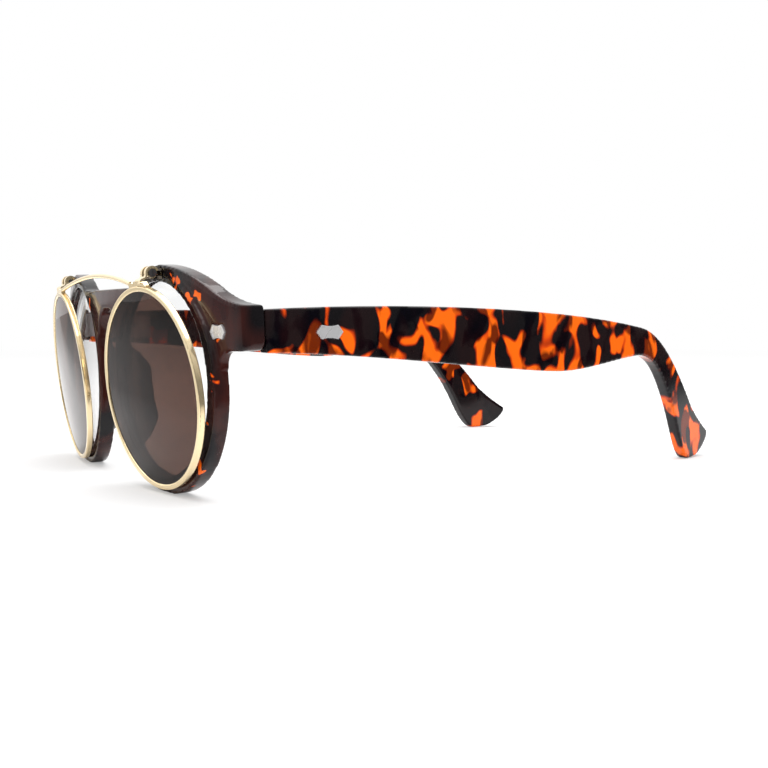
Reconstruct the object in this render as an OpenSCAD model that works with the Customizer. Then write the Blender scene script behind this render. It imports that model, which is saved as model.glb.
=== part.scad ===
// Flip up sunglasses: plastic front and temples, with a metal flip-up part in front.
// Z is up from the table, the front faces -Y, the temples run back to +Y, and the
// wearer's left is +X. Sizes are in millimetres.

/* [Front] */
// Overall width of the front
front_width = 133.4; // [110:0.1:165]
// Distance between the centres of the two lens openings
eye_pitch = 63.8; // [58:0.1:76]
// Radius of each lens opening
eye_r = 22.9; // [18:0.1:26]
// Height of the plastic below each opening
rim_bottom = 4.0; // [2.5:0.1:6]
// Depth of the raised round rims, front to back
rim_depth = 4.0; // [3.2:0.1:6]
// Thickness of the curved body between and outside the rims
body_t = 4.2; // [3.2:0.1:6]
// Radius of the base curve of the body, seen from above
base_r = 253; // [180:1:400]
// Angle that each round rim turns outward
rim_wrap = 6; // [0:0.1:12]
// Angle that the front leans, top forward
front_tilt = 2.3; // [0:0.1:8]
// Height of the endpieces
endpiece_h = 9.7; // [7:0.1:14]
// Radius of the arch over the nose
nose_arch_r = 8; // [6:0.1:10]
// Height of the bridge, top to bottom
bridge_h = 4.9; // [3:0.1:8]

/* [Clear lenses] */
// Thickness of the clear lenses
clear_t = 1.8; // [1.2:0.1:2.4]
// Radius of the curve of the clear lenses
clear_curve_r = 135; // [90:1:250]
// Depth of the groove that holds each clear lens
groove_depth = 0.7; // [0.4:0.05:1.2]

/* [Flip-up part] */
// How far each metal rim reaches past its opening
ring_over = 1.1; // [0.3:0.1:3]
// Width of the metal rim, inside to outside
ring_w = 1.3; // [1:0.05:2.5]
// Thickness of the metal rim, front to back
ring_t = 1.6; // [1.2:0.05:2.5]
// Angle that each metal rim turns outward
flip_wrap = 6.6; // [0:0.1:12]
// Angle that the flip-up part leans, top forward
flip_tilt = 6.5; // [0:0.1:12]
// Thickness of the tinted lenses
tint_t = 0.9; // [0.7:0.05:1.6]
// Radius of the curve of the tinted lenses
tint_curve_r = 240; // [120:1:400]
// Diameter of the thin bar between the two metal rims
bar_d = 1.1; // [0.8:0.05:2]
// Rise of that bar at the middle
bar_rise = 2.75; // [1:0.1:6]

/* [Flip hinges] */
// Width of the forked strap
strap_w = 3.8; // [3:0.1:6]
// Width of the slot between its two prongs
slot_w = 1.3; // [0.8:0.05:2]
// Outer radius of the curled prongs
curl_r = 1.65; // [1.3:0.05:2.4]
// Thickness of the strap
strap_t = 0.45; // [0.3:0.05:0.8]
// Radius of the hinge screw
flip_pin_r = 0.58; // [0.4:0.02:0.9]
// Radius of the screw's head
flip_head_r = 0.97; // [0.7:0.02:1.2]

/* [Temples] */
// Length of a temple from its joint to the end of the tip
temple_len = 154.2; // [125:0.1:190]
// Thickness of a temple
temple_t = 3.8; // [2.8:0.1:5]
// Angle that the back of a temple bends inward
bend_angle = 16.3; // [8:0.1:22]
// Radius of the metal core in each temple
core_r = 0.7; // [0.4:0.05:1]

/* [Temple hinges] */
// Radius of the knuckles
knuckle_r = 1.6; // [1.3:0.05:2.2]
// Height of all three knuckles together
knuckle_h = 7.2; // [5:0.1:9]
// Radius of the hinge screw
hinge_pin_r = 0.7; // [0.5:0.05:1]
// Thickness of the hinge leaves
leaf_t = 1.0; // [0.7:0.05:1.4]

/* [Plaques] */
// Length of the silver plaque on an endpiece, from point to point
plaque_front_l = 5.2; // [4:0.1:7]
// Length of the silver plaque on a temple
plaque_temple_l = 6.6; // [4:0.1:9]
// Height of a silver plaque at its corners
plaque_h = 3.2; // [2:0.1:5]
// Radius of the rivet pins behind the plaque
plaque_pin_r = 0.55; // [0.4:0.05:0.8]

/* [Clearances] */
// Gap around a turning pin
run_gap = 0.04; // [0.02:0.01:0.1]
// Gap around a fixed pin
fit_gap = 0.02; // [0.01:0.01:0.1]
// Gap between neighbouring knuckles
side_gap = 0.05; // [0.03:0.01:0.2]
// Gap between a temple and its endpiece
joint_gap = 0.14; // [0.08:0.01:0.4]

/* [Hidden] */
$fn = 64;
half_w = front_width / 2;

// the openings, the rims round them and the resting flats
eye_x = eye_pitch / 2;
eye_z = rim_bottom + eye_r;
rim_r = eye_r + 3.0;
rim_x = eye_x + 0.6;
// front plane of the rims, at the height of the metal rims' centre
ring_gap = 2.0;
rim_front = ring_t / 2 + ring_gap;
flat_cut = 0.15 + (rim_front + rim_depth) * sin(front_tilt);
rim_z = rim_r - flat_cut;

// front of the body at the middle, at the same height
body_front = rim_front - 2.37;

// the brow and the endpieces
brow_r = eye_r + 27.1;
brow_x = eye_x - 1.4;
brow_top = eye_z + eye_r + 4.0;
brow_z = brow_top - brow_r;
shoulder_r = eye_r + 11.1;
shoulder_x = eye_x + 6.6;
shoulder_z = brow_top + 0.2 - shoulder_r;
crest_x = eye_x + 4.1;
end_z = eye_z + 11.75;
end_top = end_z + endpiece_h / 2;
end_bot = end_z - endpiece_h / 2;
nip = 0.004;

// the metal rims hang in front of the openings, from the flip hinges on the brow
axis_z = brow_top - 2.1;
arm_drop = 2.82;
ring_or = eye_r + ring_over;
ring_ir = ring_or - ring_w;
ring_x = eye_x + 1.56;
ring_z = axis_z - arm_drop - ring_or;
pivot_z = eye_z - 2.02;

// the fillets of the front view
fillet_r = 30;
fillet_z = end_top + fillet_r - nip;
fillet_x = brow_x + sqrt(pow(brow_r + fillet_r, 2) - pow(fillet_z - brow_z, 2));
arch_z = eye_z + 8.9;
bridge_top = arch_z + nose_arch_r + bridge_h;
bridge_fillet_r = 6;
bridge_fillet_z = bridge_top + bridge_fillet_r - nip;
bridge_fillet_x = shoulder_x - sqrt(pow(shoulder_r + bridge_fillet_r, 2)
  - pow(bridge_fillet_z - shoulder_z, 2));
under_r = 3.5;
under_z = end_bot - under_r + nip;
under_x = rim_x + sqrt(pow(rim_r + under_r, 2) - pow(under_z - rim_z, 2));
corner_r = 3;
corner_x = half_w - corner_r;
corner_y = body_front + base_r - sqrt(pow(base_r - corner_r, 2) - pow(corner_x, 2));

// the joint between an endpiece and its temple
function base_sag(x) = base_r - sqrt(base_r * base_r - x * x);
function body_back(x) = body_front + base_sag(x) + body_t;
joint_y = body_back(half_w - temple_t) + 1.58;
hinge_x = half_w - temple_t - 1.0;
hinge_y = joint_y + 0.1;
hinge_sink = 0.5;
relief_r = knuckle_r + 0.12;
mid_h = knuckle_h * 0.36;

// the temples, drawn in the size of the reference and stretched to the chosen size
ref_len = 154.2;
ref_h = 38.65;
ref_start = 13.5;
temple_y = hinge_y - (end_z - pivot_z) * sin(front_tilt) + 0.04;
len_k = temple_len / ref_len;
high_k = end_z / ref_h;
bend_start = temple_y + 71.5 * len_k;
bend_r = 214 * len_k;
tip_short = 0.18;
temple_end = temple_y + temple_len - tip_short * len_k;

// the flip hinge, seen from the side
axis_y = -0.25;
axis_x = ring_x + 0.54;
barrel_r = curl_r - strap_t;
mid_r = curl_r - strap_t / 2;
barrel_inset = 0.35;
prong_out = strap_w / 2 - barrel_inset;
head_t = 0.5;

// the foot of the strap on the metal rim, and the bar between the feet
foot_half = 4.5;
foot_h = 1.1;
foot_t = 1.1;
foot_taper_r = 2.4;
bar_x = ring_x - foot_half * cos(flip_wrap);
bar_y = -foot_half * sin(flip_wrap) - (ring_or + foot_h / 2) * sin(flip_tilt) * cos(flip_wrap);
bar_z = ring_z + (ring_or + foot_h / 2) * cos(flip_tilt);
bar_r = (bar_x * bar_x + bar_rise * bar_rise) / (2 * bar_rise);
bar_sweep = asin((bar_x + 1.5) / bar_r);

// plate of the bracket in the brow
plate_half = 2.05;
plate_h = 2.5;
plate_z = axis_z - 0.2;
plate_t = 0.8;
plate_y = body_front + base_sag(axis_x + plate_half);
web_end = plate_y + plate_t / 2 - (plate_z - pivot_z) * sin(front_tilt);
rivet_x = 1.3;
rivet_r = 0.4;
rivet_in = 1.8;

// the clear lenses in their grooves and the tinted ones in the metal rims
clear_depth = 2.4;
clear_half = clear_t / 2 + groove_depth * (eye_r / clear_curve_r) + 0.06;
tint_hold = 0.5;
tint_r = ring_ir + tint_hold;
tint_half = tint_t / 2 + tint_hold * (ring_ir / tint_curve_r) + 0.04;

// the silver plaques
plaque_t = 0.8;
plaque_sink = 0.5;
plaque_edge = 0.32;
plaque_x = half_w - 9.0;
plaque_turn = asin(plaque_x / base_r);
plaque_temple_y = temple_y + 15.5;
function pin_places(length) = [-length * 0.22, length * 0.22];

// the leaves of the temple hinges and the wire in the temples
leaf_x = hinge_x - 5.5;
leaf_turn = asin(leaf_x / base_r);
leaf_in = 4.6;
leaf_out = 5.6;
screw_head_t = 0.6;
screw_head_r = hinge_pin_r + 0.4;
rear_plate_y = temple_y + 1.9;
rear_plate_l = 17.2;
core_z = end_z - 2.6;
core_y0 = rear_plate_y + rear_plate_l + 1;

// moves everything so that the middle of the whole length is at Y = 0
ring_edge = 0.35;
lean_x = sin(flip_wrap);
lean_z = sin(flip_tilt) * cos(flip_wrap);
ring_reach = (ring_or - ring_edge) * sqrt(lean_x * lean_x + lean_z * lean_z);
y_front = -ring_reach - (ring_t / 2 - ring_edge) * cos(flip_tilt) * cos(flip_wrap) - ring_edge;
y_shift = -(y_front + temple_end) / 2;

// side 1 is the wearer's left, side -1 the wearer's right
module side(s) {
  translate([0, y_shift, 0])
    mirror([s < 0 ? 1 : 0, 0, 0])
      children();
}

// leans the plastic front forward about a level line
module leaned() {
  translate([0, 0, pivot_z])
    rotate([front_tilt, 0, 0])
      translate([0, 0, -pivot_z])
        children();
}

// local Z points forward out of the rim, local Y up, with 0 on the rim's front plane
module on_rim(x, z) {
  translate([x, rim_front + (x - ring_x) * tan(rim_wrap), z])
    rotate([0, 0, rim_wrap])
      rotate([90, 0, 0])
        children();
}

// local Z points forward out of the metal rim, with 0 at its middle
module on_ring() {
  translate([ring_x, 0, ring_z])
    rotate([flip_tilt, 0, flip_wrap])
      rotate([90, 0, 0])
        children();
}

// a flat shape drawn in Y and Z, made solid from x0 to x1
module along_x(x0, x1) {
  translate([x0, 0, 0])
    rotate([90, 0, 90])
      linear_extrude(x1 - x0)
        children();
}

// a flat shape drawn in X and Z, made solid from y0 to y1
module along_y(y0, y1) {
  translate([0, y1, 0])
    rotate([90, 0, 0])
      linear_extrude(y1 - y0)
        children();
}

module rod(r, x0, x1) {
  translate([x0, 0, 0])
    rotate([0, 90, 0])
      cylinder(r = r, h = x1 - x0);
}

// part of a flat ring between two angles
module arc_strip(r, t, a0, a1) {
  far = (r + t) * 2;
  mid = (a0 + a1) / 2;
  intersection() {
    difference() {
      circle(r + t / 2);
      circle(r - t / 2);
    }
    polygon([[0, 0], far * [cos(a0), sin(a0)], far * [cos(mid), sin(mid)], far * [cos(a1), sin(a1)]]);
  }
}

// lens with a curved front and back, its edge at radius r and its edge plane at Z = 0
module curved_lens(r, t, curve) {
  centre = sqrt(curve * curve - r * r);
  rotate_extrude()
    intersection() {
      translate([0, -centre])
        difference() {
          circle(curve + t / 2);
          circle(curve - t / 2);
        }
      translate([0, -t * 2])
        square([r, curve / 2]);
    }
}

// points of a smooth curve from a to d, pulled towards b and c, without its last point
function smooth(a, b, c, d, n = 8) = [for (i = [0 : n - 1])
  let (t = i / n, u = 1 - t)
    u * u * u * a + 3 * u * u * t * b + 3 * u * t * t * c + t * t * t * d];

// a front view made solid through the whole depth of the body
module slab() {
  along_y(body_front - 1, joint_y + 1)
    children();
}

// all below the brow line on one side; the filled corners start a hair inside the
// place where two arcs touch, so that every edge crosses cleanly
module brow_solid() {
  intersection() {
    union() {
      intersection() {
        slab()
          translate([brow_x, brow_z])
            circle(brow_r);
        union() {
          slab()
            translate([shoulder_x, shoulder_z])
              circle(shoulder_r);
          slab()
            translate([crest_x, end_bot - 2])
              square([brow_r * 2, brow_r]);
        }
      }
      slab()
        translate([half_w - 12, end_bot - 1])
          square([13, endpiece_h + 1]);
      slab()
        difference() {
          polygon([[brow_x, brow_z], [fillet_x + 0.6, fillet_z], [fillet_x + 0.6, end_bot - 2]]);
          translate([fillet_x, fillet_z])
            circle(fillet_r);
        }
      slab()
        difference() {
          polygon([[-1, shoulder_z], [-1, bridge_top], [bridge_fillet_x - 0.1, bridge_top],
            [bridge_fillet_x - 0.3, bridge_fillet_z], [shoulder_x, shoulder_z]]);
          translate([bridge_fillet_x, bridge_fillet_z])
            circle(bridge_fillet_r);
        }
    }
    slab()
      translate([-1, end_bot])
        square([half_w + 1, brow_top]);
  }
}

// one side of the curved body, with the arch over the nose cut out
module body_solid() {
  difference() {
    union() {
      intersection() {
        union() {
          brow_solid();
          // filled corner under the endpiece, no deeper than the rim
          intersection() {
            slab()
              difference() {
                polygon([[rim_x + 8, rim_z + 2], [under_x + 0.05, under_z], [under_x + 0.05, end_bot + 1],
                  [rim_x + 10, end_bot + 1]]);
                translate([under_x, under_z])
                  circle(under_r);
              }
            on_rim(rim_x, rim_z)
              translate([0, -rim_r, -rim_depth])
                cube([rim_r * 2, rim_r * 3, rim_depth * 2]);
          }
        }
        translate([0, body_front + base_r, 0])
          difference() {
            cylinder(r = base_r, h = brow_top + 5);
            translate([0, 0, -1])
              cylinder(r = base_r - body_t, h = brow_top + 7);
          }
      }
      // the endpiece reaches back to its temple
      intersection() {
        translate([half_w - temple_t, corner_y - corner_r, end_bot])
          cube([temple_t, joint_y - corner_y + corner_r, endpiece_h]);
        translate([0, body_front + base_r, 0])
          cylinder(r = base_r, h = brow_top + 5);
      }
    }
    slab()
      translate([0, arch_z])
        circle(nose_arch_r);
    slab()
      translate([-2, end_bot - 1])
        square([nose_arch_r + 1.6, arch_z - end_bot + 1]);
    slab()
      translate([half_w, end_bot - nip])
        corner_cut(2.2);
    // slanted lower back edge, which the folded temple of the other side passes
    translate([leaf_x, body_back(leaf_x), end_bot])
      rotate([0, 0, leaf_turn])
        rotate([45, 0, 0])
          translate([-9, -0.75, -0.75])
            cube([14, 1.5, 1.5]);
  }
}

// rounds a lower right corner when it is cut away
module corner_cut(r) {
  difference() {
    translate([-r, -1])
      square([r + 1, r + 1]);
    translate([-r, r])
      circle(r);
  }
}

// rounds the upright front corner of an endpiece, seen from above
module corner_plan() {
  c = [corner_x, corner_y];
  d = (c - [0, body_front + base_r]) / (base_r - corner_r);
  p = c + d * 8;
  difference() {
    polygon([c, p, [half_w + 5, p[1]], [half_w + 5, corner_y]]);
    translate(c)
      circle(corner_r);
  }
}

// nose pad moulded behind one rim, leaning out towards the back
module nose_pad() {
  root = 3.5;
  tip = 8.4;
  intersection() {
    on_rim(eye_x, eye_z)
      translate([0, 0, -tip])
        difference() {
          cylinder(r1 = eye_r - 0.5, r2 = eye_r + 2.1, h = tip - root);
          translate([0, 0, -0.01])
            cylinder(r1 = eye_r - 3.4, r2 = eye_r - 0.6, h = tip - root + 0.02);
        }
    along_x(4, eye_x - 14)
      translate([rim_front - 8.0, eye_z - 4.8])
        circle(15.5);
  }
}

// both sides of the front with everything that is let into it
module front_frame() {
  color("#2a1d1b")
    translate([0, y_shift, 0])
      difference() {
        leaned()
          difference() {
            union() {
              for (m = [0, 1])
                mirror([m, 0, 0]) {
                  difference() {
                    union() {
                      body_solid();
                      on_rim(rim_x, rim_z)
                        translate([0, 0, -rim_depth])
                          cylinder(r = rim_r, h = rim_depth);
                    }
                    on_rim(eye_x, eye_z)
                      translate([0, 0, -rim_depth - 8])
                        cylinder(r = eye_r, h = rim_depth + 16);
                  }
                  nose_pad();
                }
            }
            for (m = [0, 1])
              mirror([m, 0, 0])
                front_cuts();
          }
        // flats that the rims rest on
        translate([-half_w, -20, -5])
          cube([front_width, 50, 5]);
        // room for the curled prongs of the flip hinges
        for (m = [0, 1])
          mirror([m, 0, 0])
            translate([axis_x, axis_y, axis_z])
              rod(curl_r + 0.2, -strap_w / 2 - 0.2, strap_w / 2 + 0.2);
      }
}

// everything that is cut out of one side of the front
module front_cuts() {
  on_rim(eye_x, eye_z)
    clear_seat();
  linear_extrude(brow_top)
    corner_plan();
  translate([0, 0, end_z]) {
    translate([hinge_x, hinge_y, -knuckle_h / 2 - 0.1])
      cylinder(r = relief_r, h = knuckle_h + 0.2);
    leaf_front_plate();
  }
  plaque_place()
    plaque_seat(plaque_front_l, body_t + 3);
  translate([axis_x - plate_half, plate_y - 4, plate_z - plate_h / 2])
    cube([plate_half * 2, plate_t + 4, plate_h]);
  for (x = [-rivet_x, rivet_x])
    translate([axis_x + x, plate_y + plate_t + rivet_in, plate_z])
      rotate([90, 0, 0])
        cylinder(r = rivet_r, h = 4);
}

// room for the edge of a clear lens
module clear_seat() {
  translate([0, 0, -clear_depth - clear_half])
    cylinder(r = eye_r + groove_depth, h = clear_half * 2);
}

module clear_lens(s) {
  color("#f4f6f6", 0.3)
    side(s)
      leaned()
        on_rim(eye_x, eye_z)
          translate([0, 0, -clear_depth])
            curved_lens(eye_r + groove_depth, clear_t, clear_curve_r);
}

// pointed at both ends, with hollow long sides; e is how far it is drawn in
module plaque_shape(length, e) {
  l = length / 2 - e * 1.6;
  h = plaque_h / 2 - e;
  c = length * 0.31 - e * 0.4;
  dip = plaque_h * 0.09;
  hollow_r = (c * c + dip * dip) / (2 * dip);
  difference() {
    polygon([[-l, 0], [-c, h], [c, h], [l, 0], [c, -h], [-c, -h]]);
    for (m = [-1, 1])
      translate([0, m * (h - dip + hollow_r)])
        circle(hollow_r, $fn = 96);
  }
}

// local Z points out of the surface, with 0 on the surface
module plaque_solid(length, pin) {
  difference() {
    translate([0, 0, -plaque_sink])
      linear_extrude(plaque_t)
        plaque_shape(length, 0);
    translate([0, 0, plaque_t - plaque_sink - 0.15])
      linear_extrude(1)
        plaque_shape(length, plaque_edge);
  }
  for (x = pin_places(length))
    translate([x, 0, -pin])
      cylinder(r = plaque_pin_r, h = pin - plaque_sink + 0.1);
}

module plaque_seat(length, pin) {
  translate([0, 0, -plaque_sink])
    linear_extrude(plaque_t + 3)
      plaque_shape(length, 0);
  for (x = pin_places(length))
    translate([x, 0, -pin])
      cylinder(r = plaque_pin_r + fit_gap, h = pin);
}

module plaque_place() {
  translate([plaque_x, body_front + base_sag(plaque_x), end_z - 0.6])
    rotate([0, 0, plaque_turn])
      rotate([90, 0, 0])
        children();
}

module plaque_front(s) {
  color("#d6d8da")
    side(s)
      leaned()
        plaque_place()
          plaque_solid(plaque_front_l, body_t - hinge_sink + leaf_t);
}

module plaque_temple_place() {
  translate([half_w, plaque_temple_y, end_z - 0.4])
    rotate([90, 0, 90])
      children();
}

module plaque_temple(s) {
  color("#d6d8da")
    side(s)
      plaque_temple_place()
        plaque_solid(plaque_temple_l, temple_t - hinge_sink + leaf_t);
}

// plate let into the brow, with the middle barrel that the forked strap turns on
module flip_bracket(s) {
  color("#d8c07a")
    side(s)
      difference() {
        union() {
          leaned()
            translate([axis_x - plate_half, plate_y, plate_z - plate_h / 2])
              cube([plate_half * 2, plate_t, plate_h]);
          translate([axis_x, 0, 0])
            along_x(-slot_w / 2 + side_gap, slot_w / 2 - side_gap) {
              translate([axis_y, axis_z])
                circle(barrel_r);
              translate([axis_y, axis_z - 0.6])
                square([web_end - axis_y, 1.2]);
            }
        }
        translate([axis_x, axis_y, axis_z])
          rod(flip_pin_r + run_gap, -strap_w, strap_w);
        // keeps the plate clear of the curled prongs
        for (x = [-strap_w / 2 - 0.2, slot_w / 2 - side_gap])
          translate([axis_x, axis_y, axis_z])
            rod(curl_r + 0.15, x, x + strap_w / 2 + 0.2 - slot_w / 2 + side_gap);
        leaned()
          for (x = [-rivet_x, rivet_x])
            translate([axis_x + x, plate_y + 3, plate_z])
              rotate([90, 0, 0])
                cylinder(r = rivet_r, h = 6);
      }
}

module bracket_rivet(s, x) {
  color("#e6cf8c")
    side(s)
      leaned()
        translate([axis_x + x, plate_y + plate_t + rivet_in, plate_z])
          rotate([90, 0, 0])
            cylinder(r = rivet_r, h = plate_t + rivet_in);
}

// flat plate let into the back of the endpiece
module leaf_front_plate() {
  translate([leaf_x, body_back(leaf_x), -knuckle_h / 2])
    rotate([0, 0, leaf_turn])
      translate([-leaf_in, -hinge_sink, 0])
        cube([leaf_in + leaf_out, leaf_t, knuckle_h]);
}

module knuckle(z0, z1) {
  translate([hinge_x, hinge_y, z0])
    cylinder(r = knuckle_r, h = z1 - z0);
}

module leaf_front(s) {
  color("#c9ccce")
    side(s)
      leaned()
        difference() {
          translate([0, 0, end_z]) {
            difference() {
              leaf_front_plate();
              translate([hinge_x, hinge_y, -mid_h / 2 - side_gap])
                cylinder(r = relief_r, h = mid_h + side_gap * 2);
            }
            knuckle(mid_h / 2 + side_gap, knuckle_h / 2);
            knuckle(-knuckle_h / 2, -mid_h / 2 - side_gap);
          }
          translate([hinge_x, hinge_y, end_z - knuckle_h])
            cylinder(r = hinge_pin_r + fit_gap, h = knuckle_h * 2);
          translate([hinge_x, hinge_y, end_z + knuckle_h / 2 - screw_head_t])
            cylinder(r = screw_head_r, h = 2);
          plaque_place()
            for (x = pin_places(plaque_front_l))
              translate([x, 0, -body_t - 3])
                cylinder(r = plaque_pin_r + fit_gap, h = body_t + 3);
        }
}

// screw through the three knuckles, with a slotted head on top
module hinge_screw(s) {
  color("#c4c7c9")
    side(s)
      leaned()
        translate([hinge_x, hinge_y, end_z])
          difference() {
            union() {
              translate([0, 0, -knuckle_h / 2])
                cylinder(r = hinge_pin_r, h = knuckle_h - screw_head_t + 0.1);
              translate([0, 0, knuckle_h / 2 - screw_head_t])
                cylinder(r = screw_head_r - fit_gap, h = screw_head_t);
            }
            translate([-2, -0.15, knuckle_h / 2 - 0.25])
              cube([4, 0.3, 1]);
          }
}

module rear_plate() {
  translate([half_w - temple_t - leaf_t + hinge_sink, rear_plate_y, end_z - knuckle_h / 2])
    cube([leaf_t, rear_plate_l, knuckle_h]);
}

module leaf_temple(s) {
  color("#c9ccce")
    side(s)
      difference() {
        union() {
          rear_plate();
          leaned()
            translate([0, 0, end_z]) {
              knuckle(-mid_h / 2, mid_h / 2);
              translate([half_w - temple_t - leaf_t + hinge_sink, hinge_y, -mid_h / 2])
                cube([leaf_t, 2.2, mid_h]);
            }
        }
        leaned()
          translate([hinge_x, hinge_y, end_z - knuckle_h])
            cylinder(r = hinge_pin_r + run_gap, h = knuckle_h * 2);
        plaque_temple_place()
          for (x = pin_places(plaque_temple_l))
            translate([x, 0, -temple_t - 2])
              cylinder(r = plaque_pin_r + fit_gap, h = temple_t + 2);
      }
}

// a point of the side view, given in the size of the reference
function tp(y, z) = [temple_y + (y - ref_start) * len_k, z * high_k];

function temple_side() = concat(
  // top edge, the bend behind the ear and down to the tip
  smooth(tp(12.5, 43.2), tp(50, 45.2), tp(95, 44.0), tp(128.8, 38.8), 14),
  smooth(tp(128.8, 38.8), tp(138, 37.6), tp(147.5, 28.5), tp(157.5, 15.3), 12),
  smooth(tp(157.5, 15.3), tp(160, 12.6), tp(164, 9.6), tp(167.4, 7.4), 4),
  // round end and the flat that rests on the table
  smooth(tp(167.4, 7.4), tp(168.6, 5.6), tp(163.6, 0.8), tp(158.6, 0), 8),
  // up the front of the tip, round the hollow behind the ear, and forward
  smooth(tp(155.6, 0), tp(152.8, 1.4), tp(150.6, 6.2), tp(148.6, 10.6), 6),
  smooth(tp(148.6, 10.6), tp(146.8, 14.6), tp(143.9, 19.9), tp(139.6, 25.2), 6),
  smooth(tp(139.6, 25.2), tp(136.2, 29.2), tp(132.6, 31.2), tp(127.6, 31.1), 7),
  smooth(tp(127.6, 31.1), tp(118, 30.6), tp(106.5, 27.7), tp(96.8, 27.7), 8),
  smooth(tp(96.8, 27.7), tp(83.1, 27.8), tp(35.7, 33.9), tp(12.5, 33.8), 10),
  [tp(12.5, 33.8)]);

// the temple seen from above: straight, then bending inward, then straight again
module temple_plan() {
  y0 = temple_y - 3;
  translate([half_w - temple_t, y0])
    square([temple_t, bend_start - y0 + 0.02]);
  translate([half_w - bend_r, bend_start]) {
    arc_strip(bend_r - temple_t / 2, temple_t, 0, bend_angle);
    rotate(bend_angle)
      translate([bend_r - temple_t, -0.02])
        square([temple_t, temple_len / 2]);
  }
}

// temple arm, cut off at the joint and hollowed for the hinge, the plaque and the wire
module temple(s) {
  color("#3a2019")
    side(s)
      difference() {
        intersection() {
          along_x(-5, half_w)
            polygon(temple_side());
          linear_extrude(end_top + 10)
            temple_plan();
        }
        leaned() {
          translate([0, joint_y + joint_gap - 30, 0])
            cube([half_w + 5, 30, end_top + 20]);
          translate([hinge_x, hinge_y, end_z - knuckle_h / 2 - 0.1])
            cylinder(r = relief_r, h = knuckle_h + 0.2);
          translate([hinge_x, hinge_y, end_z - mid_h / 2])
            cube([leaf_t + half_w - temple_t - hinge_x - hinge_sink, 2.2, mid_h]);
        }
        rear_plate();
        plaque_temple_place()
          plaque_seat(plaque_temple_l, temple_t + 1);
        core_shape();
      }
}

// round wire along the middle of the temple
module core_shape() {
  r = bend_r - temple_t / 2;
  translate([half_w - temple_t / 2, core_y0, core_z])
    rotate([-90, 0, 0])
      cylinder(r = core_r, h = bend_start - core_y0);
  translate([half_w - bend_r, bend_start, core_z])
    rotate_extrude(angle = bend_angle * 0.7)
      translate([r, 0])
        circle(core_r);
}

module temple_core(s) {
  color("#b9bcbe")
    side(s)
      core_shape();
}

// round metal rim with softened edges and a groove for its lens
module flip_rim(s) {
  e = ring_edge;
  color("#e8cf86")
    side(s)
      on_ring()
        rotate_extrude()
          difference() {
            union() {
              translate([ring_ir, -ring_t / 2 + e])
                square([ring_w, ring_t - e * 2]);
              translate([ring_ir + e, -ring_t / 2])
                square([ring_w - e * 2, ring_t]);
              for (x = [ring_ir + e, ring_or - e])
                for (z = [-1, 1])
                  translate([x, z * (ring_t / 2 - e)])
                    circle(e);
            }
            translate([ring_ir - 1, -tint_half])
              square([tint_r - ring_ir + 1, tint_half * 2]);
          }
}

module tinted_lens(s) {
  color("#6b5046", 0.6)
    side(s)
      on_ring()
        curved_lens(tint_r, tint_t, tint_curve_r);
}

// side view of the strap, from the curl round the barrel down to the foot
module strap_shape() {
  bend1 = 1.1;
  bend2 = 0.6;
  turn = 190;
  low = -80;
  p1 = [axis_y, axis_z] + (mid_r + bend1) * [cos(turn), sin(turn)];
  p2 = p1 + (bend1 + bend2) * [cos(low), sin(low)];
  translate([axis_y, axis_z])
    arc_strip(mid_r, strap_t, 26, turn + 0.5);
  translate(p1)
    arc_strip(bend1, strap_t, low - 0.5, turn - 180 + 0.5);
  translate(p2)
    arc_strip(bend2, strap_t, low + 180 - 0.5, 180);
  translate([p2[0] - bend2 - strap_t / 2, p2[1] - 0.5])
    square([strap_t, 0.52]);
}

// foot of the strap, drawn on top of the metal rim
module foot_shape() {
  difference() {
    intersection() {
      circle(ring_or + foot_h);
      translate([-foot_half, ring_or - 3])
        square([foot_half * 2, 6]);
    }
    circle(ring_or);
    for (m = [-1, 1])
      translate([m * (strap_w / 2 + 0.62), ring_or + foot_h])
        circle(0.5);
    // the outer end runs out along the rim
    translate([foot_half + 0.6, ring_or + foot_taper_r - 0.3])
      circle(foot_taper_r);
  }
}

module flip_arm(s) {
  color("#e0c67c")
    side(s)
      difference() {
        union() {
          translate([axis_x, 0, 0]) {
            along_x(-strap_w / 2, strap_w / 2)
              strap_shape();
            translate([0, axis_y, axis_z])
              rod(barrel_r + 0.01, -prong_out, prong_out);
          }
          on_ring()
            translate([0, 0, -foot_t / 2])
              linear_extrude(foot_t)
                foot_shape();
        }
        translate([axis_x, axis_y, axis_z]) {
          rod(curl_r + 0.25, -slot_w / 2, slot_w / 2);
          rod(flip_pin_r + fit_gap, -strap_w, strap_w);
        }
      }
}

module flip_screw(s) {
  color("#4a4a4c")
    side(s)
      translate([axis_x, axis_y, axis_z])
        difference() {
          union() {
            rod(flip_pin_r, -prong_out - 0.15, prong_out + 0.1);
            rod(flip_head_r, prong_out, prong_out + head_t);
          }
          translate([prong_out + head_t - 0.2, -0.14, -2])
            cube([1, 0.28, 4]);
        }
}

// thin arched bar between the feet of the two straps
module brow_bar() {
  color("#ead28c")
    translate([0, y_shift, 0])
      difference() {
        translate([0, bar_y, bar_z + bar_rise - bar_r])
          rotate([90, 0, 0])
            rotate([0, 0, 90 - bar_sweep])
              rotate_extrude(angle = bar_sweep * 2)
                translate([bar_r, 0])
                  circle(bar_d / 2);
        for (m = [0, 1])
          mirror([m, 0, 0])
            on_ring()
              translate([-foot_half, ring_or - 5, -5])
                cube([10, 10, 10]);
      }
}

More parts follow.
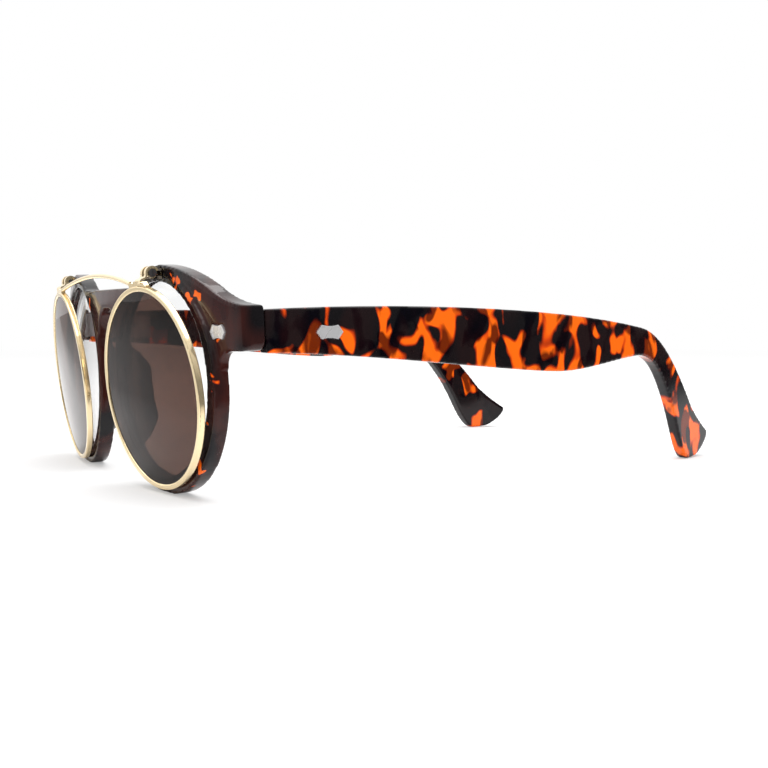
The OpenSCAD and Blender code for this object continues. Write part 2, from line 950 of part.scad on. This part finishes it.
front_frame();
clear_lens(1);  // clear_lens_left
clear_lens(-1);  // clear_lens_right
plaque_front(1);  // plaque_front_left
plaque_front(-1);  // plaque_front_right
flip_bracket(1);  // flip_bracket_left
flip_bracket(-1);  // flip_bracket_right
bracket_rivet(1, -rivet_x);  // rivet_inner_left
bracket_rivet(-1, -rivet_x);  // rivet_inner_right
bracket_rivet(1, rivet_x);  // rivet_outer_left
bracket_rivet(-1, rivet_x);  // rivet_outer_right
leaf_front(1);  // leaf_front_left
leaf_front(-1);  // leaf_front_right
hinge_screw(1);  // hinge_screw_left
hinge_screw(-1);  // hinge_screw_right
flip_rim(1);  // flip_rim_left
flip_rim(-1);  // flip_rim_right
tinted_lens(1);  // tinted_lens_left
tinted_lens(-1);  // tinted_lens_right
flip_arm(1);  // flip_arm_left
flip_arm(-1);  // flip_arm_right
flip_screw(1);  // flip_screw_left
flip_screw(-1);  // flip_screw_right
brow_bar();
temple(1);  // temple_left
temple(-1);  // temple_right
temple_core(1);  // temple_core_left
temple_core(-1);  // temple_core_right
plaque_temple(1);  // plaque_temple_left
plaque_temple(-1);  // plaque_temple_right
leaf_temple(1);  // leaf_temple_left
leaf_temple(-1);  // leaf_temple_right
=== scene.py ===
# %% [markdown]
# # Flip up sunglasses
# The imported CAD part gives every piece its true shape, size and joint. This lesson gives
# those pieces their looks: mottled plastic, pale gold, silver and two kinds of lens.
# We start by loading the part, which stays where it is from here on.

# %% Load the part
import math

import bpy
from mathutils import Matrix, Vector

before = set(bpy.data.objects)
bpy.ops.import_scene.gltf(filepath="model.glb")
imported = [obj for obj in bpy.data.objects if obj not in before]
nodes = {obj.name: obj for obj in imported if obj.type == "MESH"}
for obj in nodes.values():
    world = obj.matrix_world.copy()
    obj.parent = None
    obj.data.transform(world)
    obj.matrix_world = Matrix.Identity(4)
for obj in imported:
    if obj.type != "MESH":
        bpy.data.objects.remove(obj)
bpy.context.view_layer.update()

# %% [markdown]
# The camera comes first, because everything after it is judged through it. It was worked
# out from the photograph by matching the round rims, the temples and the points on the
# table, which gives its place, its turn and a lens of about 50 mm.

# %% Camera
AZIMUTH, DOWN = math.radians(58.29), math.radians(3.54)
CAMERA_AT = Vector((0.2731, -0.16578, 0.0413))
SENSOR_WIDTH_MM, LENS_MM = 36, 49.875
NEAREST, FARTHEST = 0.01, 20


def add_camera():
    data = bpy.data.cameras.new("camera")
    data.sensor_width, data.lens = SENSOR_WIDTH_MM, LENS_MM
    data.clip_start, data.clip_end = NEAREST, FARTHEST
    level = math.cos(DOWN)
    look = Vector((-math.sin(AZIMUTH) * level, math.cos(AZIMUTH) * level, -math.sin(DOWN)))
    camera = bpy.data.objects.new("camera", data)
    camera.location = CAMERA_AT
    camera.rotation_mode = "QUATERNION"
    camera.rotation_quaternion = look.to_track_quat("-Z", "Y")
    bpy.context.scene.collection.objects.link(camera)
    bpy.context.scene.camera = camera
    return camera


camera = add_camera()
print("camera at", [round(v, 4) for v in camera.location])

# %% [markdown]
# A material in Blender is a tree of nodes. Building one by hand in code takes many lines,
# so a few short helpers keep what follows readable. The first adds a node and fills its
# inputs, with a plain value or with a wire from another node. The others are the nodes
# that we use most: a sum, a sum of vectors, a change of range and a mix of two colours.

# %% Helpers for nodes
def put(tree, kind, values=None, **settings):
    node = tree.nodes.new(kind)
    for name, value in settings.items():
        setattr(node, name, value)
    for name, value in (values or {}).items():
        socket = node.inputs[name]
        if isinstance(value, bpy.types.NodeSocket):
            tree.links.new(value, socket)
        else:
            socket.default_value = value
    return node


def reckon(tree, how, a, b, clamp=False):
    return put(tree, "ShaderNodeMath", {0: a, 1: b}, operation=how, use_clamp=clamp).outputs[0]


def reckon_vector(tree, how, a, b=(0.0, 0.0, 0.0)):
    node = put(tree, "ShaderNodeVectorMath", {0: a, 1: b}, operation=how)
    return node.outputs["Value" if how in ("LENGTH", "DISTANCE") else "Vector"]


def rescale(tree, value, low, high, to_low=0.0, to_high=1.0):
    return put(tree, "ShaderNodeMapRange", {
        "Value": value, "From Min": low, "From Max": high,
        "To Min": to_low, "To Max": to_high}).outputs[0]


def blend(tree, factor, first, second, how="MIX"):
    return put(tree, "ShaderNodeMix", {"Factor": factor, 6: first, 7: second},
               data_type="RGBA", blend_type=how).outputs[2]


print("node helpers ready")

# %% [markdown]
# Some finishes return on several pieces. A node group holds such a finish once, with
# named inputs and outputs, so that each material places it with its own values. Shaders
# stay outside the groups: a group gives only colours, masks, values and normals.

# %% Helpers for node groups
def new_group(name, inputs, outputs):
    group = bpy.data.node_groups.new(name, "ShaderNodeTree")
    for label, kind in inputs:
        group.interface.new_socket(label, in_out="INPUT", socket_type="NodeSocket" + kind)
    for label, kind in outputs:
        group.interface.new_socket(label, in_out="OUTPUT", socket_type="NodeSocket" + kind)
    return group, group.nodes.new("NodeGroupInput"), group.nodes.new("NodeGroupOutput")


def give(group, out, results):
    for label, result in results.items():
        group.links.new(result, out.inputs[label])
    print("group", group.name, "gives", list(results))
    return group


def use_group(tree, group, values):
    return put(tree, "ShaderNodeGroup", values, node_tree=group)


print("group helpers ready")

# %% [markdown]
# Tortoiseshell plastic is pressed from blocks of amber and black, so its blots are
# crisp, lean over, and overlap in two depths. A picture could be wrapped round it, but it
# would stretch at the bends, so noise in space cuts through the sheet as a saw would.
# One noise, stretched up and down and turned, decides where it is black. A second one,
# lower in the sheet, lays a see-through brown over part of the amber. Between black and
# amber runs a thin red edge. A third, broader one lets a little brown glow through the
# black, as light does in thin sheet.

# %% Tortoiseshell pattern
BLACK, RED = (0.0072, 0.0062, 0.0072), (0.17, 0.016, 0.004)
DEEP_AMBER, AMBER = (0.62, 0.055, 0.004), (0.93, 0.140, 0.005)
SHEET_STOPS = [(0.0, BLACK), (0.22, BLACK), (0.42, RED), (0.68, DEEP_AMBER), (1.0, AMBER)]
EDGE_LOW, EDGE_HIGH = -0.022, 0.060
SLANT, STRETCH = (-0.42, 0.0, 0.0), (1.0, 1.15, 0.72)
DISTORTION = 0.7
VEIL, VEIL_SEED, VEIL_MOST = (0.10, 0.06, 0.3, 1), 5.3, 0.93
VEIL_LOW, VEIL_HIGH, VEIL_OFF_SPOTS = 0.515, 0.585, 0.4
BROWN, GLOW_SEED, GLOW_BREADTH = (0.060, 0.010, 0.005, 1), 11.7, 0.5
GLOW_LOW, GLOW_HIGH = 0.40, 0.60


def ramp(tree, factor, stops):
    node = put(tree, "ShaderNodeValToRGB", {"Fac": factor})
    while len(node.color_ramp.elements) < len(stops):
        node.color_ramp.elements.new(0.5)
    for element, (place, colour) in zip(node.color_ramp.elements, stops):
        element.position = place
        element.color = (*colour, 1)
    return node.outputs["Color"]


def blots(group, place, seed, size, detail, rough):
    return put(group, "ShaderNodeTexNoise", {
        "Vector": place, "W": seed, "Scale": size, "Detail": detail,
        "Roughness": rough, "Distortion": DISTORTION}, noise_dimensions="4D").outputs["Fac"]


def tortoise_group():
    group, given, out = new_group("tortoiseshell", [
        ("Place", "Vector"), ("Size", "Float"), ("Dark", "Float"),
        ("Seed", "Float"), ("Spots", "Float"), ("Warm", "Float")], [("Color", "Color")])
    place = put(group, "ShaderNodeMapping", {
        "Vector": given.outputs["Place"], "Rotation": SLANT, "Scale": STRETCH}).outputs[0]
    size, seed = given.outputs["Size"], given.outputs["Seed"]
    spots = given.outputs["Spots"]

    level = blots(group, place, seed, size, detail=1.1, rough=0.4)
    level = reckon(group, "SUBTRACT", level, given.outputs["Dark"])
    level = reckon(group, "ADD", level, spots)
    colour = ramp(group, rescale(group, level, EDGE_LOW, EDGE_HIGH), SHEET_STOPS)

    lower = reckon(group, "ADD", seed, VEIL_SEED)
    veil = blots(group, place, lower, size, detail=1.6, rough=0.5)
    veil = reckon(group, "SUBTRACT", veil, reckon(group, "MULTIPLY", spots, VEIL_OFF_SPOTS))
    cover = rescale(group, veil, VEIL_LOW, VEIL_HIGH, 0.0, VEIL_MOST)
    colour = blend(group, cover, colour, VEIL, "MULTIPLY")

    deeper = reckon(group, "ADD", seed, GLOW_SEED)
    breadth = reckon(group, "MULTIPLY", size, GLOW_BREADTH)
    glow = blots(group, place, deeper, breadth, detail=2.0, rough=0.5)
    glow = rescale(group, glow, GLOW_LOW, GLOW_HIGH)
    warmth = reckon(group, "MULTIPLY", glow, given.outputs["Warm"])
    return give(group, out, {"Color": blend(group, warmth, colour, BROWN, "ADD")})


tortoise = tortoise_group()

# %% [markdown]
# The front is cut from a darker part of the sheet. Only a few small amber spots show,
# most of them near the wearer's left rim. Noise alone would put them elsewhere, so they
# are listed by place and radius in millimetres. A spot is strongest in its middle and
# fades out at twice its radius, and a fine noise sways its outline.

# %% Amber spots of the front
SPOTS = [
    ((40.4, -79.0, 50.8), 1.35),
    ((42.2, -78.8, 49.0), 1.1),
    ((48.5, -77.3, 46.0), 1.25),
    ((50.8, -76.9, 46.3), 1.0),
    ((56.3, -75.3, 36.3), 0.95),
    ((54.6, -74.6, 31.6), 1.5),
    ((57.0, -76.5, 28.8), 1.4),
    ((57.6, -76.3, 26.4), 1.6),
    ((57.7, -76.2, 24.6), 1.2),
    ((54.6, -76.3, 18.1), 0.8),
    ((50.0, -76.4, 8.2), 0.95),
    ((44.4, -76.8, 3.9), 1.0),
    ((-15.3, -81.5, 45.0), 1.0),
]
MM = 0.001
SPOT_PEAK, SPOT_REACH = 0.50, 2
SWAY_SCALE, SWAY = 330.0, (0.006, 0.006, 0.006)
HALF = (0.5, 0.5, 0.5)


def noise(tree, place, scale, detail, output="Fac"):
    node = put(tree, "ShaderNodeTexNoise", {"Vector": place, "Scale": scale, "Detail": detail})
    return node.outputs[output]


def spot_mask(tree, place):
    sway = noise(tree, place, SWAY_SCALE, 1.0, "Color")
    sway = reckon_vector(tree, "MULTIPLY", reckon_vector(tree, "SUBTRACT", sway, HALF), SWAY)
    place = reckon_vector(tree, "ADD", place, sway)
    total = None
    for middle, radius in SPOTS:
        far = reckon_vector(tree, "DISTANCE", place, tuple(v * MM for v in middle))
        near = rescale(tree, far, 0.0, radius * SPOT_REACH * MM, SPOT_PEAK, 0.0)
        total = near if total is None else reckon(tree, "MAXIMUM", total, near)
    return total


print(len(SPOTS), "amber spots, the largest of radius", max(r for _, r in SPOTS), "mm")

# %% [markdown]
# The plastic is a hard gloss. Principled BSDF is enough for it: the pattern goes into its
# Base Color, and a slow noise into its Roughness, as fingers never leave a gloss even.
# Front and temples are two materials, because the front is darker and has its own spots.

# %% Plastic materials
PLASTIC_INDEX = 1.33
GLOSS_LOW, GLOSS_HIGH, FINGER_SCALE = 0.06, 0.11, 60.0
BLOT_SIZE = 150.0


def material(name):
    made = bpy.data.materials.new(name)
    made.use_nodes = True
    made.node_tree.nodes.clear()
    return made, made.node_tree


def object_place(tree):
    return put(tree, "ShaderNodeTexCoord").outputs["Object"]


def surface(tree, shader):
    put(tree, "ShaderNodeOutputMaterial", {"Surface": shader})


def plastic(name, dark, seed, warm, spotted):
    made, tree = material(name)
    place = object_place(tree)
    values = {"Place": place, "Size": BLOT_SIZE, "Dark": dark, "Seed": seed, "Warm": warm}
    if spotted:
        values["Spots"] = spot_mask(tree, place)
    look = use_group(tree, tortoise, values)
    touched = noise(tree, place, FINGER_SCALE, 2.0)
    shader = put(tree, "ShaderNodeBsdfPrincipled", {
        "Base Color": look.outputs["Color"],
        "Roughness": rescale(tree, touched, 0.0, 1.0, GLOSS_LOW, GLOSS_HIGH),
        "IOR": PLASTIC_INDEX})
    surface(tree, shader.outputs[0])
    return made


plastic_front = plastic("plastic front", dark=0.74, seed=3.0, warm=0.62, spotted=True)
plastic_temple = plastic("plastic temple", dark=0.515, seed=7.0, warm=0.12, spotted=False)
print("made", plastic_front.name, "and", plastic_temple.name)

# %% [markdown]
# The metals are plated. Pale gold covers the flip-up part, and silver the plaques. Real
# plating is never perfectly even, so the first group lets a slow noise change its tone
# and roughness a little. The silver and the hinges were also brushed: the second group
# stretches a noise into fine level lines.

# %% Groups for plating and brushing
PLATING_SCALE, DULLER = 220.0, (0.96, 0.96, 0.96, 1)
DULL_BELOW, BRIGHT_ABOVE = 0.3, 0.7
BRUSH_STRETCH = (300.0, 300.0, 6000.0)


def plating_group():
    group, given, out = new_group("uneven plating", [
        ("Place", "Vector"), ("Tone", "Color"), ("Smoothest", "Float"), ("Roughest", "Float")],
        [("Color", "Color"), ("Roughness", "Float")])
    uneven = noise(group, given.outputs["Place"], PLATING_SCALE, 3.0)
    tone = given.outputs["Tone"]
    dull = blend(group, 1.0, tone, DULLER, "MULTIPLY")
    rough = rescale(group, uneven, 0.0, 1.0, given.outputs["Smoothest"], given.outputs["Roughest"])
    colour = blend(group, rescale(group, uneven, DULL_BELOW, BRIGHT_ABOVE), dull, tone)
    return give(group, out, {"Color": colour, "Roughness": rough})


def brushing_group():
    group, given, out = new_group("brushed lines", [("Place", "Vector")], [("Height", "Float")])
    stretched = put(group, "ShaderNodeMapping", {
        "Vector": given.outputs["Place"], "Scale": BRUSH_STRETCH}).outputs[0]
    return give(group, out, {"Height": noise(group, stretched, 1.0, 4.0)})


plating, brushing = plating_group(), brushing_group()

# %% [markdown]
# One function now makes every metal. A mirror of pure metal would show the pale studio
# everywhere and lose its own colour, so gold and silver are a little less metallic, which
# the value "satin" says. The flip hinge's brackets lie in the shade of the brow and look
# nearly black, so their near-black metal colour is painted shade.

# %% Metal materials
BRUSH_DEPTH = 0.00005


def metal(name, colour, roughness, lines=0.0, satin=0.0):
    made, tree = material(name)
    place = object_place(tree)
    look = use_group(tree, plating, {
        "Place": place, "Tone": (*colour, 1), "Smoothest": roughness[0], "Roughest": roughness[1]})
    values = {"Base Color": look.outputs["Color"], "Metallic": 1.0 - satin,
              "Roughness": look.outputs["Roughness"]}
    if lines:
        grain = use_group(tree, brushing, {"Place": place})
        values["Normal"] = put(tree, "ShaderNodeBump", {
            "Height": grain.outputs["Height"], "Strength": lines, "Distance": BRUSH_DEPTH}).outputs[0]
    surface(tree, put(tree, "ShaderNodeBsdfPrincipled", values).outputs[0])
    return made


gold = metal("pale gold", (1.0, 0.81, 0.50), (0.07, 0.12), satin=0.18)
silver = metal("silver", (0.82, 0.82, 0.83), (0.22, 0.32), lines=0.35, satin=0.45)
steel = metal("hinge steel", (0.62, 0.62, 0.63), (0.24, 0.34), lines=0.2)
dark_steel = metal("dark screw", (0.30, 0.30, 0.31), (0.25, 0.35))
# The brackets' near-black colour is painted shade from the brow above them.
bracket_shade_metal = metal("bracket painted shade", (0.055, 0.042, 0.034), (0.25, 0.35))
print("metals:", [made.name for made in (gold, silver, steel, dark_steel, bracket_shade_metal)])

# %% [markdown]
# Both kinds of lens are real curved shells, so they refract. The tinted lens is brown,
# and a slow noise keeps its tint from being perfectly even. In the CAD mesh all triangles
# of a lens meet at its middle, where smoothed normals show as a dark speck. So within
# 4 mm of that point each triangle's own normal is used, and the smooth one elsewhere.

# %% Groups for the lenses
CLOUD_SCALE, CLOUD_LOW, CLOUD_HIGH = 25.0, 0.35, 0.65
CROWDED_WITHIN = 0.004


def tint_group():
    group, given, out = new_group("lens tint", [
        ("Place", "Vector"), ("Deep", "Color"), ("Pale", "Color")], [("Color", "Color")])
    cloud = noise(group, given.outputs["Place"], CLOUD_SCALE, 1.0)
    cloud = rescale(group, cloud, CLOUD_LOW, CLOUD_HIGH)
    return give(group, out, {
        "Color": blend(group, cloud, given.outputs["Deep"], given.outputs["Pale"])})


def calm_middle_group():
    group, given, out = new_group("calm middle", [
        ("Place", "Vector"), ("Middle", "Vector"), ("Smooth", "Vector"), ("Flat", "Vector")],
        [("Normal", "Vector")])
    either_side = reckon_vector(group, "ABSOLUTE", given.outputs["Place"])
    far = reckon_vector(group, "DISTANCE", either_side, given.outputs["Middle"])
    crowded = reckon(group, "LESS_THAN", far, CROWDED_WITHIN)
    normal = put(group, "ShaderNodeMix", {
        0: crowded, 4: given.outputs["Smooth"], 5: given.outputs["Flat"]}, data_type="VECTOR")
    return give(group, out, {"Normal": normal.outputs[1]})


tint, calm_middle = tint_group(), calm_middle_group()

# %% [markdown]
# A glass shader alone would throw a black shadow here, because a shadow ray doesn't pass
# through it. Light Path tells which ray is asking, so a shadow ray sees a plain
# see-through colour instead. The two lenses of a pair are mirrored, so one
# material serves both, and its middle is measured once, on the left lens.

# %% Lens materials
def middle_of(node):
    corners = [Vector(corner) for corner in node.bound_box]
    return sum(corners, Vector()) / len(corners)


def lens(name, deep, pale, shade, index, middle):
    made, tree = material(name)
    place = object_place(tree)
    form = put(tree, "ShaderNodeNewGeometry")
    colour = use_group(tree, tint, {"Place": place, "Deep": (*deep, 1), "Pale": (*pale, 1)})
    normal = use_group(tree, calm_middle, {
        "Place": place, "Middle": tuple(abs(v) for v in middle),
        "Smooth": form.outputs["Normal"], "Flat": form.outputs["True Normal"]})
    glass = put(tree, "ShaderNodeBsdfPrincipled", {
        "Base Color": colour.outputs["Color"], "Normal": normal.outputs["Normal"],
        "Roughness": 0.0, "IOR": index, "Transmission Weight": 1.0})
    clear = put(tree, "ShaderNodeBsdfTransparent", {"Color": (*shade, 1)})
    path = put(tree, "ShaderNodeLightPath")
    surface(tree, put(tree, "ShaderNodeMixShader", {
        0: path.outputs["Is Shadow Ray"], 1: glass.outputs[0], 2: clear.outputs[0]}).outputs[0])
    return made


clear_lens = lens("clear lens", (0.98, 0.99, 0.99), (1.0, 1.0, 1.0), (0.93, 0.93, 0.93),
                  1.2, middle_of(nodes["clear_lens_left"]))
tinted_lens = lens("tinted lens", (0.082, 0.042, 0.031), (0.093, 0.047, 0.035),
                   (0.28, 0.24, 0.22), 1.22, middle_of(nodes["tinted_lens_left"]))
print("tinted lens middle in mm:",
      [round(v * 1000, 1) for v in middle_of(nodes["tinted_lens_left"])])

# %% [markdown]
# Each CAD node now takes its material. A table from the start of a name to a finish
# serves left and right at once. The longest start that fits wins, so temple_core gets
# steel although it also starts with temple.

# %% Give every node its material
LOOKS = {
    "front_frame": plastic_front, "temple": plastic_temple,
    "clear_lens": clear_lens, "tinted_lens": tinted_lens,
    "flip_rim": gold, "flip_arm": gold, "brow_bar": gold, "rivet": gold,
    # The brackets take the near-black painted shade metal.
    "flip_bracket": bracket_shade_metal, "flip_screw": dark_steel, "plaque": silver,
    "leaf": steel, "hinge_screw": steel, "temple_core": steel,
}


def dress(name, node):
    for start in sorted(LOOKS, key=len, reverse=True):
        if name.startswith(start):
            node.data.materials.clear()
            node.data.materials.append(LOOKS[start])
            return True
    return False


dressed = [name for name, node in nodes.items() if dress(name, node)]
print("dressed", len(dressed), "of", len(nodes), "nodes")

# %% [markdown]
# Plastic frames are tumbled for days, which rounds every edge. The CAD solid has sharp
# ones. A bevel modifier works edge by edge, which suits a few clean edges better than a
# carved solid like this. So a remesh modifier lays an even skin over it, and a smooth
# modifier then softens the edges by about half a millimetre. The CAD mesh underneath
# isn't changed.

# %% Round the plastic edges
SKIN_STEP, SMOOTHINGS = 0.0003, 12
TUMBLED = ("front_frame", "temple_left", "temple_right")


def tumble(node):
    skin = node.modifiers.new("skin", "REMESH")
    skin.mode, skin.voxel_size, skin.use_smooth_shade = "VOXEL", SKIN_STEP, True
    soft = node.modifiers.new("soft", "SMOOTH")
    soft.factor, soft.iterations = 0.5, SMOOTHINGS


for name in TUMBLED:
    tumble(nodes[name])
print("tumbled", TUMBLED)

# %% [markdown]
# The glasses stand on a plain pale floor that melts into a white background. The floor
# keeps the soft contact shadows, and towards the distance it turns into plain white for
# the camera. A floor that is bright everywhere would mirror in the upright sides of the
# plastic and turn them grey. So to reflections it is dark on the right, and about half
# dark in front. Even near the glasses a third of the plain white is mixed in, which keeps
# the shadows light. All distances are in metres from the middle of the floor.

# %% Floor
FLOOR_SIZE, FLOOR_AT = 8, (0, 0, -0.00002)
FLOOR_LOW, FLOOR_HIGH, FLOOR_GRAIN = (0.93, 0.93, 0.93), (0.94, 0.94, 0.94), 40.0
DARK_FLOOR = (0.05, 0.05, 0.05, 1)
WHITE = (1, 1, 1, 1)
RIGHT_FROM, RIGHT_TO = 0.08, 0.13
FRONT_FROM, FRONT_TO, FRONT_MOST = -0.100, -0.150, 0.45
MELT_FROM, MELT_TO, MELT_LEAST = 0.35, 1.2, 0.35


def floor_material():
    made, tree = material("floor")
    place = object_place(tree)
    grain = put(tree, "ShaderNodeTexNoise", {"Vector": place, "Scale": FLOOR_GRAIN}).outputs["Fac"]
    pale = put(tree, "ShaderNodeBsdfPrincipled", {
        "Base Color": ramp(tree, grain, [(0.3, FLOOR_LOW), (0.7, FLOOR_HIGH)]),
        "Roughness": 0.9, "Specular IOR Level": 0.0})
    dark = put(tree, "ShaderNodeBsdfDiffuse", {"Color": DARK_FLOOR})
    white = put(tree, "ShaderNodeEmission", {"Color": WHITE, "Strength": 1.0})
    path = put(tree, "ShaderNodeLightPath").outputs

    parts = put(tree, "ShaderNodeSeparateXYZ", {0: place})
    right = rescale(tree, parts.outputs["X"], RIGHT_FROM, RIGHT_TO)
    front = rescale(tree, parts.outputs["Y"], FRONT_FROM, FRONT_TO, 0.0, FRONT_MOST)
    glossy = reckon(tree, "SUBTRACT", path["Is Glossy Ray"], path["Is Transmission Ray"], clamp=True)
    hide = reckon(tree, "MULTIPLY", reckon(tree, "MAXIMUM", right, front), glossy)

    far = reckon_vector(tree, "LENGTH", place)
    seen = reckon(tree, "MAXIMUM", path["Is Camera Ray"], path["Is Transmission Ray"])
    melt = reckon(tree, "MULTIPLY", rescale(tree, far, MELT_FROM, MELT_TO, MELT_LEAST), seen)

    near = put(tree, "ShaderNodeMixShader", {0: hide, 1: pale.outputs[0], 2: dark.outputs[0]})
    both = put(tree, "ShaderNodeMixShader", {0: melt, 1: near.outputs[0], 2: white.outputs[0]})
    surface(tree, both.outputs[0])
    return made


def add_floor():
    bpy.ops.mesh.primitive_plane_add(size=FLOOR_SIZE, location=FLOOR_AT)
    floor = bpy.context.object
    floor.name = "floor"
    floor.data.materials.append(floor_material())
    return floor


print("floor", [round(v, 1) for v in add_floor().dimensions[:2]], "m")

# %% [markdown]
# The sky is one plain world that answers each kind of ray in its own way. The camera, and
# rays that come through a lens, see white. Matt surfaces get an even light grey, which
# fills the shadows. Reflections see a studio: bright overhead and far to the left, and
# dark near the horizon on the right, so that gloss and metal get their contrast.

# %% Sky
MATT_LEVEL = 0.8
UP_FROM, UP_TO, UP_LEAST, UP_MOST = 0.15, 0.80, 0.12, 0.95
LEFT_FROM, LEFT_TO, LEFT_MOST = 0.30, -0.95, 0.85


def add_sky():
    world = bpy.data.worlds.new("sky")
    bpy.context.scene.world = world
    world.use_nodes = True
    tree = world.node_tree
    tree.nodes.clear()
    way = put(tree, "ShaderNodeTexCoord").outputs["Generated"]
    parts = put(tree, "ShaderNodeSeparateXYZ", {0: way})
    up = rescale(tree, parts.outputs["Z"], UP_FROM, UP_TO, UP_LEAST, UP_MOST)
    left = rescale(tree, parts.outputs["X"], LEFT_FROM, LEFT_TO, 0.0, LEFT_MOST)
    path = put(tree, "ShaderNodeLightPath").outputs
    seen = reckon(tree, "MAXIMUM", path["Is Camera Ray"], path["Is Transmission Ray"])

    white = put(tree, "ShaderNodeBackground", {"Color": WHITE, "Strength": 1.0})
    matt = put(tree, "ShaderNodeBackground", {"Color": WHITE, "Strength": MATT_LEVEL})
    shine = put(tree, "ShaderNodeBackground", {
        "Color": WHITE, "Strength": reckon(tree, "ADD", up, left)})
    lit = put(tree, "ShaderNodeMixShader", {
        0: path["Is Glossy Ray"], 1: matt.outputs[0], 2: shine.outputs[0]})
    both = put(tree, "ShaderNodeMixShader", {0: seen, 1: lit.outputs[0], 2: white.outputs[0]})
    put(tree, "ShaderNodeOutputWorld", {"Surface": both.outputs[0]})
    return world


print("world", add_sky().name)

# %% [markdown]
# One large area light hangs over the glasses, as a softbox does on a photographer's
# table. Its size keeps the shadows soft, and it looks down on the middle of the part. The view transform
# is Standard, so that colours come out as they were written.

# %% Light and view
def add_light(name, at, towards, size, power):
    data = bpy.data.lights.new(name, "AREA")
    data.shape, data.size, data.energy = "SQUARE", size, power
    light = bpy.data.objects.new(name, data)
    light.location = at
    light.rotation_mode = "QUATERNION"
    light.rotation_quaternion = (Vector(towards) - Vector(at)).to_track_quat("-Z", "Y")
    bpy.context.scene.collection.objects.link(light)
    return light


overhead = add_light("overhead", at=(0.0, 0.05, 0.75), towards=(0, 0, 0), size=0.9, power=7.0)
bpy.context.scene.view_settings.view_transform = "Standard"
print("light", overhead.name, "of", overhead.data.energy, "W")
